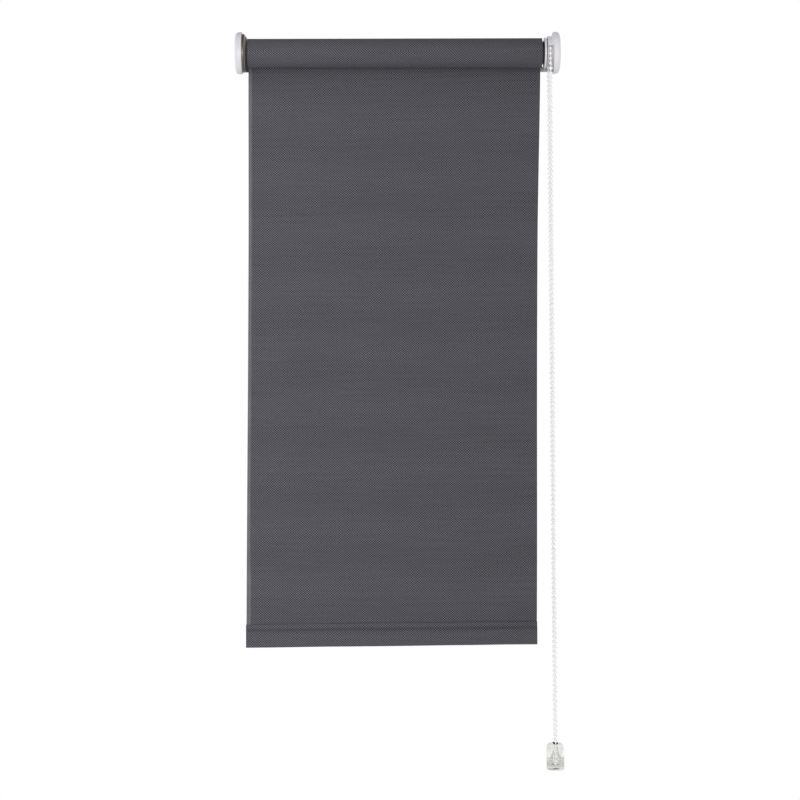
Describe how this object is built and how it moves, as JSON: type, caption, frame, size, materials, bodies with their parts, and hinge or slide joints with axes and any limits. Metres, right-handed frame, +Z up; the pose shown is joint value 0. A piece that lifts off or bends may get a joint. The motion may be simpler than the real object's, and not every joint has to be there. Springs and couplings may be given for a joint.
{
  "type": "roller blind",
  "caption": "Fabric roller blind with wall brackets, a sprung idle pin, a bead chain drive, a clear chain weight and a bar in the hem.",
  "frame": {"origin": "centre of the four wall screw holes, on the wall and level with the roller's axis", "axes": "+X along the roller towards the chain, +Y into the wall, +Z up"},
  "size_m": [0.3983, 0.0555, 0.9035],
  "materials": {
    "bracket_steel": "zinc plated",
    "white_plastic": "moulded",
    "drive_plastic": "moulded",
    "grey_plastic": "moulded",
    "tube_aluminium": "extruded",
    "steel_parts": "bright",
    "blind_fabric": "woven",
    "tape": "smooth",
    "hem_bar": "mill",
    "chain_plastic": "moulded",
    "clear_plastic": "clear"
  },
  "bodies": {
    "wall_side": {"left_bracket": "bracket_steel", "right_bracket": "bracket_steel", "left_end_cap": "white_plastic", "right_end_cap": "white_plastic", "pin_socket": "grey_plastic", "drive_spindle": "drive_plastic", "drive_guard": "white_plastic", "core_washer": "steel_parts", "core_screw": "steel_parts", "spindle_clip": "steel_parts"},
    "roller": {"roller_tube": "tube_aluminium", "fabric_tape": "tape", "wound_fabric": "blind_fabric", "tube_adapter": "drive_plastic", "chain_wheel": "drive_plastic", "wrap_spring_up": "steel_parts", "wrap_spring_down": "steel_parts", "idle_plug": "grey_plastic", "plug_stopper": "grey_plastic"},
    "sprung_pin": {"idle_pin": "steel_parts", "pin_spring": "steel_parts"},
    "hem": {"fabric_sheet": "blind_fabric", "hem_pocket": "blind_fabric", "bottom_bar": "hem_bar"},
    "chain_loop": {"bead_chain": "chain_plastic", "chain_over_wheel": "chain_plastic", "weight_shell_left": "clear_plastic", "weight_shell_right": "clear_plastic", "weight_axle": "steel_parts"},
    "chain_pulley": {"weight_pulley": "drive_plastic"}
  },
  "joints": [
    {"name": "roller_turn", "type": "hinge", "parent": "wall_side", "child": "roller", "pos_m": [0, -0.03, 0], "axis": [1, 0, 0], "range_deg": [-2430, 2070]},
    {"name": "bar_travel", "type": "slide", "parent": "wall_side", "child": "hem", "axis": [0.0083, 0, 1], "range_m": [-0.79, 0.673], "deforming": ["fabric_sheet"]},
    {"name": "pin_slide", "type": "slide", "parent": "roller", "child": "sprung_pin", "axis": [1, 0, 0], "range_m": [0, 0.005], "stiffness_N_per_m": 1200, "springref_m": -0.004, "deforming": ["pin_spring"]},
    {"name": "chain_swing", "type": "hinge", "parent": "wall_side", "child": "chain_loop", "pos_m": [0.1861, -0.03, 0], "axis": [-1, 0, 0], "range_deg": [-1, 20]},
    {"name": "pulley_turn", "type": "hinge", "parent": "chain_loop", "child": "chain_pulley", "pos_m": [0.1898, -0.03, -0.8655], "axis": [1, 0, 0], "range_deg": [-6480, 5520]}
  ],
  "couplings": [
    {"joint": "bar_travel", "follows": "roller_turn", "m_per_rad": 0.0186},
    {"joint": "pulley_turn", "follows": "roller_turn", "ratio": 2.6667}
  ]
}
